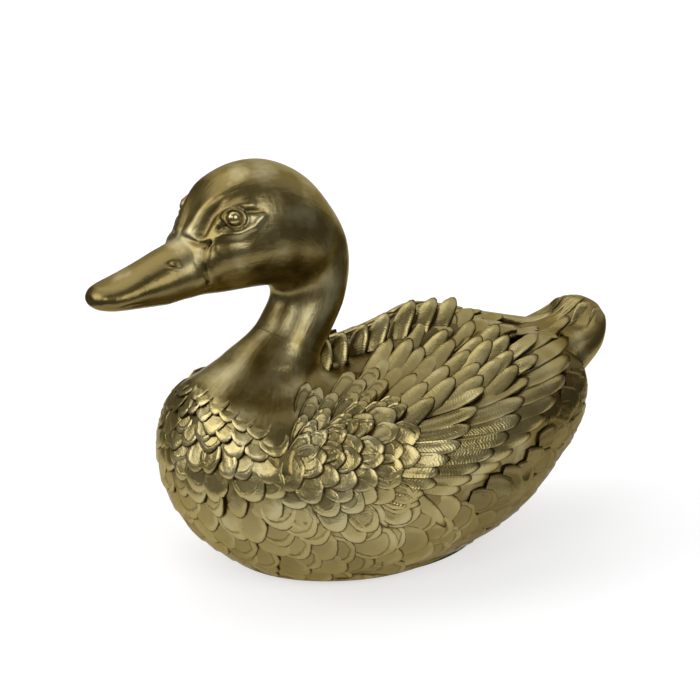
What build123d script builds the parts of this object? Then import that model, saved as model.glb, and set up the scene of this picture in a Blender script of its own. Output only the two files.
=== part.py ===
# Brass duck ornament, cast in sections and brazed together.
#
# Frame: millimetres, +Z up, the bill points along -Y and the bird's left is +X.
# The origin is the centre of the felt under the foot, on the table.

from build123d import *

import math
import os

# Body casting
BODY_LENGTH = 220.0  # breast to stern
BODY_WIDTH = 148.0  # across the flanks, without the wings
BACK_HEIGHT = 92.0  # table to the back between the wings
BREAST_REACH = 98.0  # foot centre to the front of the breast
WALL = 3.0  # cast wall of the body
FLOOR = 7.0  # cast floor of the body, which takes the screws

# Neck and head casting
NECK_ROOT_SETBACK = 40.0  # front of the breast to the root of the neck
NECK_ROOT_HEIGHT = 68.0
NECK_HEIGHT = 82.0  # root of the neck, inside the body, to the middle of the head
NECK_SWEEP = 31.5  # how far the top of the neck stands behind its root
NECK_WIDTH = 33.0  # at its narrowest
NAPE_OVERHANG = 11.0  # top of the neck to the nape
HEAD_LENGTH = 76.0  # nape to the feather line at the bill
HEAD_WIDTH = 53.0
HEAD_HEIGHT = 55.0
HEAD_WALL = 6.0
BILL_ROOT_DEPTH = 14.0  # how far inside the head the bill starts
BILL_DROP = 7.0  # middle of the head down to the middle of the bill's root
BILL_LENGTH = 57.0
BILL_WIDTH = 34.0
BILL_HEIGHT = 27.0
SPIGOT_LENGTH = 10.0  # register of the neck casting inside the body casting
SPIGOT_WALL = 2.5

# Eyes
EYE_RADIUS = 3.0
EYE_PROUD = 1.9  # how far the bead stands out of the head
EYE_SHANK_RADIUS = 1.0
EYE_SHANK_LENGTH = 4.4  # from the centre of the bead into the head

# Wings
WING_LENGTH = 177.0  # shoulder to the tip of the longest quill
WING_HEIGHT = 67.0
WING_DEPTH = 75.0  # from the valley along the back to the flank
SHOULDER_SETBACK = 31.0  # front of the breast to the shoulder of the wing
FEATHER_LENGTH = 48.0  # one long feather of a tier
FEATHER_SHOWN = 26.0  # how much of it shows beyond the plain front of its tier
FEATHER_RISE = 30.0  # slope of the top feather of a tier in degrees; the bottom one lies level
FEATHER_STEP = 0.9  # each tier stands proud of the one behind it
FEATHER_GROOVE = 0.8  # between neighbouring feathers
TERTIAL_LENGTH = 34.0  # raised feathers over the back and the top of a wing
TERTIAL_WIDTH = 13.5
TERTIAL_DEPTH = 20.0  # thickness of a raised feather, most of it sunk in the wing
TERTIAL_ROOT_SUNK = 1.0  # how deep its root lies in the wing or the back
CREST_FALL = 0.28  # drop of the tips of the raised feathers for each millimetre outwards
CREST_SWEEP = 0.65  # how far they stand back for each millimetre outwards
WING_PIN_RADIUS = 3.0
WING_PIN_REACH = 6.0  # how far a pin comes through the body wall
WING_PIN_GRIP = 3.0  # how far a pin is cast into the wing

# Tail
TAIL_ROOT_DEPTH = 26.0  # how far inside the stern the tail starts
TAIL_ROOT_LEVEL = 0.772  # start of the tail, as a share of the back height
TAIL_LENGTH = 40.0
TAIL_WIDTH = 58.0
TAIL_THICKNESS = 34.0
TAIL_PIN_RADIUS = 4.0
TAIL_PIN_LENGTH = 26.0

# Closing plate, screws and felt under the foot
FELT_THICKNESS = 2.0
FELT_MARGIN = 4.0  # edge of the foot to the edge of the felt
PLATE_THICKNESS = 3.0
PLATE_MARGIN = 9.0  # edge of the foot to the edge of the plate
LEDGE = 11.0  # width of the seat that the plate is screwed to
SCREW_COUNT = 4
SCREW_RADIUS = 2.0
SCREW_LENGTH = 8.0
SCREW_HEAD_RADIUS = 3.8
SLOT_WIDTH = 1.0
SLOT_DEPTH = 0.8

# Clearances
SEAM = 0.15  # brazed seam between castings
FIT = 0.1  # round pins and screws in their holes
PLATE_GAP = 0.3  # plate in its recess

# Sections of the body from breast to stern: share of the length, share of the half width,
# then top, keel and level of the widest line as shares of the back height
BODY_SECTIONS = [
    (0.000, 0.08, 0.63, 0.51, 0.57),
    (0.014, 0.23, 0.73, 0.42, 0.57),
    (0.037, 0.46, 0.86, 0.28, 0.57),
    (0.087, 0.68, 0.97, 0.13, 0.57),
    (0.202, 0.89, 1.01, -0.05, 0.57),
    (0.350, 1.00, 1.00, -0.15, 0.57),
    (0.532, 0.95, 0.99, -0.13, 0.58),
    (0.697, 0.81, 0.99, -0.03, 0.61),
    (0.826, 0.66, 0.99, 0.14, 0.65),
    (0.931, 0.49, 0.97, 0.32, 0.70),
    (0.980, 0.28, 0.92, 0.51, 0.74),
    (1.000, 0.09, 0.83, 0.68, 0.76),
]
# Sections of the neck from its root to the head: shares of the sweep and of the height, lean in degrees,
# then half width, depth behind and depth ahead as shares of half the neck's width
NECK_SECTIONS = [
    (0.00, -0.12, 98, 2.40, 2.00, 1.55),
    (0.10, 0.14, 102, 2.28, 1.85, 1.62),
    (0.29, 0.29, 110, 1.55, 1.38, 1.22),
    (0.54, 0.44, 118, 1.08, 1.03, 0.82),
    (0.77, 0.56, 116, 1.00, 0.97, 0.90),
    (0.92, 0.69, 110, 0.98, 0.95, 0.97),
    (1.00, 0.84, 100, 1.01, 0.92, 1.03),
    (0.96, 1.00, 88, 1.06, 0.88, 1.09),
    (0.78, 1.14, 68, 0.80, 0.60, 0.80),
]
NECK_JOINT = 3  # section of the neck where its casting meets the body's
# Sections of the head from nape to feather line: share of the length, rise of the centre as a share
# of the height, then half width, crown and jaw as shares of the half width and half height
HEAD_SECTIONS = [
    (0.00, -0.05, 0.36, 0.36, 0.48),
    (0.08, 0.00, 0.58, 0.56, 0.80),
    (0.25, 0.07, 0.87, 0.91, 0.95),
    (0.48, 0.16, 1.00, 0.99, 1.02),
    (0.70, 0.15, 0.98, 0.93, 0.98),
    (0.81, 0.11, 0.92, 0.84, 0.91),
    (0.90, 0.04, 0.83, 0.69, 0.78),
    (1.00, -0.12, 0.68, 0.50, 0.50),
]
EYE_SECTION = 5  # section of the head that the eyes are set in
EYE_LEVEL = 0.42  # height of the eye in that section, as a share of the crown
# Sections of the bill from inside the head to the tip: share of the length, drop of the centre as a share
# of the height, then half width and half height as shares of the half width and half height
BILL_SECTIONS = [
    (0.00, -0.05, 0.75, 0.72),
    (0.20, 0.00, 0.97, 0.97),
    (0.36, 0.08, 0.89, 0.86),
    (0.59, 0.19, 0.79, 0.65),
    (0.81, 0.28, 0.74, 0.45),
    (0.94, 0.31, 0.57, 0.35),
    (1.00, 0.32, 0.28, 0.19),
]
# Sections of a wing from shoulder to tip: share of the length, centre as shares of the body's half width
# and of the back height, then half depth and half height as shares of the half depth and half height
WING_SECTIONS = [
    (0.00, 0.60, 0.58, 0.15, 0.18),
    (0.08, 0.61, 0.60, 0.54, 0.54),
    (0.22, 0.58, 0.63, 0.86, 0.80),
    (0.42, 0.56, 0.65, 0.94, 0.84),
    (0.57, 0.49, 0.72, 0.98, 0.88),
    (0.70, 0.44, 0.79, 0.88, 0.85),
    (0.82, 0.36, 0.85, 0.69, 0.56),
    (0.94, 0.22, 0.91, 0.40, 0.30),
    (1.00, 0.15, 0.98, 0.13, 0.11),
]
# Tiers of feathers from the longest to the shortest: shares of the wing's length where the top and the
# bottom feather end, and the number of feathers
WING_TIERS = [(1.00, 0.88, 6), (0.74, 0.62, 8), (0.50, 0.32, 9)]
# Ranks of raised feathers from the middle of the back outwards: distance out as a share of the body's half
# width, then the tips as shares of the wing's length
TERTIAL_RANKS = [
    (0.11, [0.40, 0.50, 0.60, 0.70, 0.80, 0.89]),
    (0.29, [0.36, 0.46, 0.56, 0.66, 0.76, 0.86]),
    (0.48, [0.35, 0.48, 0.61, 0.73]),
]
# Line that the tips of the raised feathers follow along the middle of the back: share of the wing's length,
# height as a share of the back height
CREST_SECTIONS = [(0.10, 1.03), (0.37, 1.13), (0.60, 1.20), (0.72, 1.13), (0.83, 1.06), (1.00, 1.02)]
WING_PINS = [(0.25, 0.80), (0.62, 0.80)]  # shares of the wing's length and of the back height
# Sections of the tail from inside the stern to its rounded end: shares of the length back and up,
# lean in degrees, then half width, thickness below the middle and above it as shares of the halves
TAIL_SECTIONS = [
    (0.00, 0.00, 150, 1.00, 1.16, 1.08),
    (0.40, 0.24, 145, 0.93, 1.06, 0.90),
    (0.70, 0.46, 140, 0.83, 0.90, 0.74),
    (0.90, 0.62, 138, 0.62, 0.64, 0.53),
    (1.00, 0.70, 135, 0.31, 0.33, 0.27),
]
TAIL_PIN_SECTION = 2  # section of the tail where its pin starts


def facing(x, y, z, lean=0.0):
    """Plane whose normal points along -Y, leant back by so many degrees: at 90 it points straight up."""
    turn = math.radians(lean)
    return Plane(origin=(x, y, z), x_dir=(1, 0, 0), z_dir=(0, -math.cos(turn), math.sin(turn)))


def skin(rings):
    """Smooth solid through rings of (plane, half width, half height above, half height below)."""
    with BuildPart() as form:
        for plane, half_width, above, below in rings:
            with BuildSketch(plane):
                with BuildLine():
                    EllipticalCenterArc((0, 0), half_width, above, start_angle=0, arc_size=180)
                    EllipticalCenterArc((0, 0), half_width, below, start_angle=180, arc_size=180)
                make_face()
        loft()
    return form.part


def stretched(share, length, grow):
    """Distance along a form of that length, whose two ends both move out by grow."""
    return share * (length + 2 * grow) - grow


def section_at(sections, share):
    """Row of a table of sections at that share of the length, mixed from its two neighbours."""
    after = next(row for row in sections[1:] if row[0] >= share)
    before = sections[sections.index(after) - 1]
    mix = (share - before[0]) / (after[0] - before[0])
    return [a + mix * (b - a) for a, b in zip(before, after)]


def body_form(grow=0.0):
    """The body without its neck, with its skin moved out by grow."""
    rings = []
    for share, wide, top, keel, beam in BODY_SECTIONS:
        plane = facing(0, stretched(share, BODY_LENGTH, grow) - BREAST_REACH, beam * BACK_HEIGHT)
        above = (top - beam) * BACK_HEIGHT + grow
        below = (beam - keel) * BACK_HEIGHT + grow
        rings.append((plane, wide * BODY_WIDTH / 2 + grow, above, below))
    return skin(rings)


def body_flank(y, z):
    """Half width of the upper body at that place."""
    _, wide, top, _, beam = section_at(BODY_SECTIONS, (y + BREAST_REACH) / BODY_LENGTH)
    height = (z / BACK_HEIGHT - beam) / (top - beam)
    return wide * BODY_WIDTH / 2 * math.sqrt(1 - height * height)


NECK_ROOT_Y = NECK_ROOT_SETBACK - BREAST_REACH


def neck_plane(section):
    """Plane of one section of the neck."""
    sweep, rise, lean = NECK_SECTIONS[section][:3]
    return facing(0, NECK_ROOT_Y + sweep * NECK_SWEEP, NECK_ROOT_HEIGHT + rise * NECK_HEIGHT, lean)


def neck_form(grow=0.0):
    """The neck from its root in the breast up into the head."""
    half = NECK_WIDTH / 2
    rings = []
    for section, (_, _, _, wide, behind, ahead) in enumerate(NECK_SECTIONS):
        rings.append((neck_plane(section), wide * half + grow, behind * half + grow, ahead * half + grow))
    return skin(rings)


NAPE_Y = NECK_ROOT_Y + NECK_SWEEP + NAPE_OVERHANG
HEAD_Z = NECK_ROOT_HEIGHT + NECK_HEIGHT


def head_ring(section, grow=0.0):
    """Plane and half sizes of one section of the head."""
    share, rise, wide, crown, jaw = HEAD_SECTIONS[section]
    plane = facing(0, NAPE_Y - stretched(share, HEAD_LENGTH, grow), HEAD_Z + rise * HEAD_HEIGHT)
    half_height = HEAD_HEIGHT / 2
    return plane, wide * HEAD_WIDTH / 2 + grow, crown * half_height + grow, jaw * half_height + grow


def head_form(grow=0.0):
    """The head without its bill."""
    return skin([head_ring(section, grow) for section in range(len(HEAD_SECTIONS))])


def bill_form():
    """The closed bill, from inside the head to its tip."""
    root_y = NAPE_Y - HEAD_LENGTH + BILL_ROOT_DEPTH
    rings = []
    for share, drop, wide, tall in BILL_SECTIONS:
        plane = facing(0, root_y - share * BILL_LENGTH, HEAD_Z - BILL_DROP - drop * BILL_HEIGHT)
        rings.append((plane, wide * BILL_WIDTH / 2, tall * BILL_HEIGHT / 2, tall * BILL_HEIGHT / 2))
    return skin(rings)


EYE_PLANE, EYE_HALF_WIDTH, EYE_CROWN, _ = head_ring(EYE_SECTION)
EYE_X = EYE_HALF_WIDTH * math.sqrt(1 - EYE_LEVEL**2) + EYE_PROUD - EYE_RADIUS


def eye_bead(grow=0.0):
    """The left eye: a bead with a shank that points into the head."""
    center = (EYE_X, EYE_PLANE.origin.Y, EYE_PLANE.origin.Z + EYE_LEVEL * EYE_CROWN)
    with BuildPart() as bead:
        with Locations(center):
            Sphere(EYE_RADIUS + grow)
        with BuildSketch(Plane(origin=center, x_dir=(0, 1, 0), z_dir=(-1, 0, 0))):
            Circle(EYE_SHANK_RADIUS + grow)
        extrude(amount=EYE_SHANK_LENGTH + grow)
    return bead.part


SHOULDER_Y = SHOULDER_SETBACK - BREAST_REACH


def wing_form(grow=0.0):
    """The left wing, folded, as a full lobe."""
    rings = []
    for share, out, level, deep, tall in WING_SECTIONS:
        y = SHOULDER_Y + stretched(share, WING_LENGTH, grow)
        half_height = tall * WING_HEIGHT / 2 + grow
        plane = facing(out * BODY_WIDTH / 2, y, level * BACK_HEIGHT)
        rings.append((plane, deep * WING_DEPTH / 2 + grow, half_height, half_height))
    return skin(rings)


def wing_edge(share, side):
    """Place on the left wing's outline seen from the side: side is 1 for its top and -1 for its bottom."""
    _, _, level, _, tall = section_at(WING_SECTIONS, share)
    return Vector(SHOULDER_Y + share * WING_LENGTH, level * BACK_HEIGHT + side * tall * WING_HEIGHT / 2)


def feather_center(tip, length, rise):
    """Middle of a feather of that length and slope, from its tip."""
    return tip - Vector(length / 2, 0).rotate(Axis.Z, rise)


def wing_tier(number):
    """One tier of long feathers of the left wing, proud of the tiers behind it."""
    top_end, bottom_end, count = WING_TIERS[number]
    lobe = wing_form((number + 1) * FEATHER_STEP)
    high = wing_edge(top_end, 1)
    low = wing_edge(bottom_end, -1)
    width = (high - low).length / count
    front = SHOULDER_Y - WING_DEPTH
    over = high.Y + WING_HEIGHT
    under = low.Y - WING_HEIGHT
    with BuildPart() as tier:
        with BuildSketch(Plane.YZ):
            with BuildLine():
                Polyline(
                    (front, under),
                    (low.X - FEATHER_SHOWN, under),
                    (low.X - FEATHER_SHOWN, low.Y),
                    (high.X - FEATHER_SHOWN, high.Y),
                    (high.X - FEATHER_SHOWN, over),
                    (front, over),
                    close=True,
                )
            make_face()
            for feather in range(count):
                share = (feather + 0.5) / count
                rise = FEATHER_RISE * (1 - share)
                with Locations(feather_center(high + (low - high) * share, FEATHER_LENGTH, rise)):
                    SlotOverall(FEATHER_LENGTH, width - FEATHER_GROOVE, rotation=rise)
        extrude(amount=BODY_WIDTH)
        add(lobe, mode=Mode.INTERSECT)
    return tier.part


def arch(share):
    """Height of a round arch as a share of its full height, at that share of its half width."""
    return math.sqrt(max(0.0, 1 - share * share))


def top_level(x, y):
    """Height of the plain back or of the plain left wing, whichever is the higher, at that place."""
    _, wide, top, _, beam = section_at(BODY_SECTIONS, (y + BREAST_REACH) / BODY_LENGTH)
    back = (beam + (top - beam) * arch(x / (wide * BODY_WIDTH / 2))) * BACK_HEIGHT
    _, out, level, deep, tall = section_at(WING_SECTIONS, (y - SHOULDER_Y) / WING_LENGTH)
    aside = (x - out * BODY_WIDTH / 2) / (deep * WING_DEPTH / 2)
    return max(back, level * BACK_HEIGHT + tall * WING_HEIGHT / 2 * arch(aside))


def crest_level(x, y):
    """Height of the tips of the raised feathers at that place."""
    share = (y - CREST_SWEEP * x - SHOULDER_Y) / WING_LENGTH
    return section_at(CREST_SECTIONS, share)[1] * BACK_HEIGHT - CREST_FALL * x


def tertial(out, share):
    """One raised feather of the left wing, its tip that far out and at that share of the wing's length."""
    x = out * BODY_WIDTH / 2
    y = SHOULDER_Y + share * WING_LENGTH
    tip = Vector(x, y, crest_level(x, y))
    root_y = y - TERTIAL_LENGTH
    along = (tip - Vector(x, root_y, top_level(x, root_y) - TERTIAL_ROOT_SUNK)).normalized()
    middle = tip - along * (TERTIAL_LENGTH / 2)
    with BuildPart() as feather:
        with BuildSketch(Plane(origin=middle, x_dir=along, z_dir=(0, -along.Z, along.Y))):
            SlotOverall(TERTIAL_LENGTH, TERTIAL_WIDTH)
        extrude(amount=-TERTIAL_DEPTH)
    return feather.part


def wing_pins(grow=0.0):
    """The two pins of the left wing, from inside it to beyond the inner face of the body wall."""
    with BuildPart() as pins:
        for share, level in WING_PINS:
            y = SHOULDER_Y + share * WING_LENGTH
            z = level * BACK_HEIGHT
            inner_end = body_flank(y, z) - WALL - WING_PIN_REACH
            with BuildSketch(Plane(origin=(inner_end, y, z), x_dir=(0, 1, 0), z_dir=(1, 0, 0))):
                Circle(WING_PIN_RADIUS + grow)
            extrude(amount=WING_PIN_REACH + WALL + WING_PIN_GRIP)
    return pins.part


TAIL_ROOT_Y = BODY_LENGTH - BREAST_REACH - TAIL_ROOT_DEPTH
TAIL_ROOT_Z = TAIL_ROOT_LEVEL * BACK_HEIGHT


def tail_plane(section):
    """Plane of one section of the tail."""
    back, up, lean = TAIL_SECTIONS[section][:3]
    return facing(0, TAIL_ROOT_Y + back * TAIL_LENGTH, TAIL_ROOT_Z + up * TAIL_LENGTH, lean)


def tail_form():
    """The turned-up tail, from inside the stern to its rounded end."""
    rings = []
    half = TAIL_THICKNESS / 2
    for section, (_, _, _, wide, under, over) in enumerate(TAIL_SECTIONS):
        rings.append((tail_plane(section), wide * TAIL_WIDTH / 2, under * half, over * half))
    return skin(rings)


def tail_pin(grow=0.0):
    """The tail's pin, along its axis from inside the tail through the wall of the stern."""
    with BuildPart() as pin:
        with BuildSketch(tail_plane(TAIL_PIN_SECTION)):
            Circle(TAIL_PIN_RADIUS + grow)
        extrude(amount=-TAIL_PIN_LENGTH)
    return pin.part


def foot_half_width():
    """Half the width of the flat foot, where the widest section of the body meets it."""
    _, wide, _, keel, beam = max(BODY_SECTIONS, key=lambda row: row[1])
    drop = (beam * BACK_HEIGHT - FELT_THICKNESS) / ((beam - keel) * BACK_HEIGHT)
    return wide * BODY_WIDTH / 2 * math.sqrt(1 - drop * drop)


def foot_half_length():
    """Half the length of the flat foot, as far as it reaches both ways from the origin."""
    level = FELT_THICKNESS / BACK_HEIGHT
    ends = []
    for before, after in zip(BODY_SECTIONS, BODY_SECTIONS[1:]):
        keel, next_keel = before[3], after[3]
        if (keel - level) * (next_keel - level) < 0:
            share = before[0] + (after[0] - before[0]) * (level - keel) / (next_keel - keel)
            ends.append(abs(share * BODY_LENGTH - BREAST_REACH))
    return min(ends)


FOOT_X = foot_half_width()
FOOT_Y = foot_half_length()
PLATE_X = FOOT_X - PLATE_MARGIN
PLATE_Y = FOOT_Y - PLATE_MARGIN
PLATE_TOP = FELT_THICKNESS + PLATE_THICKNESS
CAVITY_FLOOR = PLATE_TOP + FLOOR
SCREW_ANGLES = [math.radians((turn + 0.5) * 360 / SCREW_COUNT) for turn in range(SCREW_COUNT)]
SCREW_X = PLATE_X - LEDGE / 2
SCREW_Y = PLATE_Y - LEDGE / 2
SCREW_PLACES = [(SCREW_X * math.cos(angle), SCREW_Y * math.sin(angle)) for angle in SCREW_ANGLES]
HEAD_DEPTH = SCREW_HEAD_RADIUS - SCREW_RADIUS


def screw(place, grow=0.0):
    """A countersunk screw, head down, as a revolved outline."""
    bottom = FELT_THICKNESS
    with BuildPart() as form:
        with BuildSketch(Plane(origin=(*place, bottom), x_dir=(1, 0, 0), z_dir=(0, -1, 0))):
            Polygon(
                (0, 0),
                (SCREW_HEAD_RADIUS + grow, 0),
                (SCREW_RADIUS + grow, HEAD_DEPTH),
                (SCREW_RADIUS + grow, SCREW_LENGTH + grow),
                (0, SCREW_LENGTH + grow),
                align=None,
            )
        revolve(axis=Axis((*place, bottom), (0, 0, 1)))
    return form.part


# Whole forms that the castings are cut from, and the clearances that they leave one another
body_skin = body_form()
neck_skin = neck_form()
head_skin = head_form()
bill_skin = bill_form()
tail_skin = tail_form()
wing_lobe = wing_form()
wing_tiers = [wing_tier(number) for number in range(len(WING_TIERS))]
tertials = [tertial(out, share) for out, tips in TERTIAL_RANKS for share in tips]
joint_plane = neck_plane(NECK_JOINT)
spigot_x = NECK_SECTIONS[NECK_JOINT][3] * NECK_WIDTH / 2 - WALL - SEAM
spigot_y = min(NECK_SECTIONS[NECK_JOINT][4:]) * NECK_WIDTH / 2 - WALL - SEAM
neck_foot = split(neck_skin, bisect_by=joint_plane, keep=Keep.BOTTOM)
neck_stem = split(neck_skin, bisect_by=joint_plane, keep=Keep.TOP)
body_hollow = split(body_form(-WALL), bisect_by=Plane.XY.offset(CAVITY_FLOOR), keep=Keep.TOP)
neck_hollow = neck_form(-WALL)
stem_hollow = split(neck_form(-HEAD_WALL), bisect_by=joint_plane, keep=Keep.TOP)
head_hollow = head_form(-HEAD_WALL)
body_clearance = body_form(SEAM)
neck_clearance = neck_form(SEAM)
wing_clearance = wing_form(FEATHER_STEP + SEAM)
left_pins = wing_pins()
wing_pin_holes = wing_pins(FIT)
fixing_pin = tail_pin()
fixing_pin_hole = tail_pin(FIT)
eye_form = eye_bead()
eye_seat = eye_bead(FIT)
screws = [screw(place) for place in SCREW_PLACES]
screw_holes = [screw(place, FIT) for place in SCREW_PLACES]

# Body casting: breast, flanks, back and the foot of the neck, hollow above a floor with a core hole
with BuildPart() as body_shell:
    add(body_skin)
    add(neck_foot)
    split(bisect_by=Plane.XY.offset(FELT_THICKNESS), keep=Keep.TOP)
    add([body_hollow, neck_hollow], mode=Mode.SUBTRACT)
    with BuildSketch(Plane.XY.offset(FELT_THICKNESS)):
        Ellipse(PLATE_X + PLATE_GAP, PLATE_Y + PLATE_GAP)
    extrude(amount=PLATE_THICKNESS, mode=Mode.SUBTRACT)
    with BuildSketch(Plane.XY.offset(PLATE_TOP)):
        Ellipse(PLATE_X - LEDGE, PLATE_Y - LEDGE)
    extrude(amount=FLOOR, mode=Mode.SUBTRACT)
    add([wing_pin_holes, mirror(wing_pin_holes, about=Plane.YZ, mode=Mode.PRIVATE)], mode=Mode.SUBTRACT)
    add(fixing_pin_hole, mode=Mode.SUBTRACT)
    add(screw_holes, mode=Mode.SUBTRACT)
body_shell.part.label = "body_shell"

# Neck and head casting: hollow, with a register that drops into the body casting, and a solid bill
with BuildPart() as neck_and_head:
    add(neck_stem)
    add(head_skin)
    add([stem_hollow, head_hollow], mode=Mode.SUBTRACT)
    add(bill_skin)
    with BuildSketch(joint_plane):
        Ellipse(spigot_x, spigot_y)
        Ellipse(spigot_x - SPIGOT_WALL, spigot_y - SPIGOT_WALL, mode=Mode.SUBTRACT)
    extrude(amount=-SPIGOT_LENGTH)
    add([eye_seat, mirror(eye_seat, about=Plane.YZ, mode=Mode.PRIVATE)], mode=Mode.SUBTRACT)
neck_and_head.part.label = "neck_and_head"

# Eyes: beads on shanks
with BuildPart() as left_eye:
    add(eye_form)
left_eye.part.label = "left_eye"

with BuildPart() as right_eye:
    mirror(left_eye.part, about=Plane.YZ)
right_eye.part.label = "right_eye"

# Wings: a lobe under three tiers of long feathers and ranks of raised ones, hollowed to fit the body
with BuildPart() as left_wing:
    add(wing_lobe)
    add(wing_tiers)
    add(tertials)
    add([body_clearance, neck_clearance], mode=Mode.SUBTRACT)
    add(left_pins)
left_wing.part.label = "left_wing"

with BuildPart() as right_wing:
    mirror(left_wing.part, about=Plane.YZ)
right_wing.part.label = "right_wing"

# Tail: a thick turned-up lobe that fits the stern and the wing tips
with BuildPart() as tail_fan:
    add(tail_skin)
    add(body_clearance, mode=Mode.SUBTRACT)
    add([wing_clearance, mirror(wing_clearance, about=Plane.YZ, mode=Mode.PRIVATE)], mode=Mode.SUBTRACT)
    add(fixing_pin)
tail_fan.part.label = "tail_fan"

# Closing plate, its screws and the felt, all under the foot
with BuildPart() as base_plate:
    with BuildSketch(Plane.XY.offset(FELT_THICKNESS)):
        Ellipse(PLATE_X, PLATE_Y)
    extrude(amount=PLATE_THICKNESS)
    add(screw_holes, mode=Mode.SUBTRACT)
base_plate.part.label = "base_plate"

with BuildPart() as base_screws:
    add(screws)
    with BuildSketch(Plane.XY.offset(FELT_THICKNESS)):
        with Locations(*SCREW_PLACES):
            Rectangle(2 * SCREW_HEAD_RADIUS, SLOT_WIDTH)
    extrude(amount=SLOT_DEPTH, mode=Mode.SUBTRACT)
base_screws.part.label = "base_screws"

with BuildPart() as felt_sheet:
    with BuildSketch():
        Ellipse(FOOT_X - FELT_MARGIN, FOOT_Y - FELT_MARGIN)
    extrude(amount=FELT_THICKNESS)
felt_sheet.part.label = "felt_sheet"

os.makedirs("parts", exist_ok=True)
export_step(body_shell.part, "parts/body_shell.step")
export_step(neck_and_head.part, "parts/neck_and_head.step")
export_step(left_eye.part, "parts/left_eye.step")
export_step(right_eye.part, "parts/right_eye.step")
export_step(left_wing.part, "parts/left_wing.step")
export_step(right_wing.part, "parts/right_wing.step")
export_step(tail_fan.part, "parts/tail_fan.step")
export_step(base_plate.part, "parts/base_plate.step")
export_step(base_screws.part, "parts/base_screws.step")
export_step(felt_sheet.part, "parts/felt_sheet.step")
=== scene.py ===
import math

import bmesh
import bpy
import numpy as np
from mathutils import Matrix, Vector
from mathutils.bvhtree import BVHTree


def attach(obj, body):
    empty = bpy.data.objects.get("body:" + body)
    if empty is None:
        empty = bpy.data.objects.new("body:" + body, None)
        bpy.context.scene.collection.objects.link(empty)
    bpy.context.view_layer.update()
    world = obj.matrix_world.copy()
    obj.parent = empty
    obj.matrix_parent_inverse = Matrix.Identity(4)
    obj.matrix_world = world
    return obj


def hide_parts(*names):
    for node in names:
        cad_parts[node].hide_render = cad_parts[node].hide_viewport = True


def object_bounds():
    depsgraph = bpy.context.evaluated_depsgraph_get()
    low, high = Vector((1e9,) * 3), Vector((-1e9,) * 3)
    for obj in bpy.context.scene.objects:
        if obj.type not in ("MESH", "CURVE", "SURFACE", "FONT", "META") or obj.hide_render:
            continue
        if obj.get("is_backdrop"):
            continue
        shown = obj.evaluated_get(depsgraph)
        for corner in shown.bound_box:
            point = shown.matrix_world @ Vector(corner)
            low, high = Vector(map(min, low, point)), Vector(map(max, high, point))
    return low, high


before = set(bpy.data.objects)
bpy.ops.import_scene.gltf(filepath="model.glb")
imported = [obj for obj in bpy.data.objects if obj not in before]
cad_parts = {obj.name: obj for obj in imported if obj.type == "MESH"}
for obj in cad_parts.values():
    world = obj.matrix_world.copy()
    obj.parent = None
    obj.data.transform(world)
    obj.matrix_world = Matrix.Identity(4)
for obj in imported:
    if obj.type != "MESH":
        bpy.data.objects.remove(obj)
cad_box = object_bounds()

MM = 0.001
dice = np.random.default_rng(11)

# Sizes and places of the castings in millimetres, with the bill at negative y
BODY_LENGTH = 220
BODY_HALF_WIDTH = 74
BACK_HEIGHT = 92
BREAST_FRONT = -98
NECK_FRONT = -58
NECK_SWEEP = 31.5
NECK_ROOT = 68
NECK_HEIGHT = 82
NECK_HALF_WIDTH = 16.5
NECK_FOOT = np.array([0, -60, 100])
NAPE = -15.5
HEAD_LENGTH = 76
HEAD_LEVEL = 150
HEAD_HEIGHT = 55
HEAD_HALF_WIDTH = 26.5
HEAD_HALF_HEIGHT = 27.5
BILL_ROOT = -77.5
BILL_LENGTH = 57
BILL_LEVEL = 143
BILL_HEIGHT = 27
BILL_HALF_WIDTH = 17
BILL_HALF_HEIGHT = 13.5
WING_SHOULDER = -67
WING_LENGTH = 177
WING_HALF_DEPTH = 37.5
WING_HALF_HEIGHT = 33.5
CORE_INSET = 5.2  # bare core of a wing inside its feathers
CORE_LEAST = 0.6
MANTLE_OUT = 6
MANTLE_LEVEL = 86
MANTLE_HALF_WIDTH = 15
MANTLE_DEPTH = 8
TAIL_START = 96
TAIL_LEVEL = 71
TAIL_LENGTH = 40
TAIL_HALF_WIDTH = 29
TAIL_HALF_DEPTH = 17

# Sections of the castings as shares of their sizes: breast to stern, root to crown, nape to bill,
# root to tip of the bill, shoulder to tip of the wing, and root to tip of the tail
BODY = [
    (0.000, 0.08, 0.63, 0.51, 0.57),
    (0.014, 0.23, 0.73, 0.42, 0.57),
    (0.037, 0.46, 0.86, 0.28, 0.57),
    (0.087, 0.68, 0.97, 0.13, 0.57),
    (0.202, 0.89, 1.01, -0.05, 0.57),
    (0.350, 1.00, 1.00, -0.15, 0.57),
    (0.532, 0.95, 0.99, -0.13, 0.58),
    (0.697, 0.81, 0.99, -0.03, 0.61),
    (0.826, 0.66, 0.99, 0.14, 0.65),
    (0.931, 0.49, 0.97, 0.32, 0.70),
    (0.980, 0.28, 0.92, 0.51, 0.74),
    (1.000, 0.09, 0.83, 0.68, 0.76),
]
NECK = [
    (0.00, -0.12, 98, 2.40, 2.00, 1.55),
    (0.10, 0.14, 102, 2.28, 1.85, 1.62),
    (0.29, 0.29, 110, 1.55, 1.38, 1.22),
    (0.54, 0.44, 118, 1.08, 1.03, 0.82),
    (0.77, 0.56, 116, 1.00, 0.97, 0.90),
    (0.92, 0.69, 110, 0.98, 0.95, 0.97),
    (1.00, 0.84, 100, 1.01, 0.92, 1.03),
    (0.96, 1.00, 88, 1.06, 0.88, 1.09),
    (0.78, 1.14, 68, 0.80, 0.60, 0.80),
]
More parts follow.
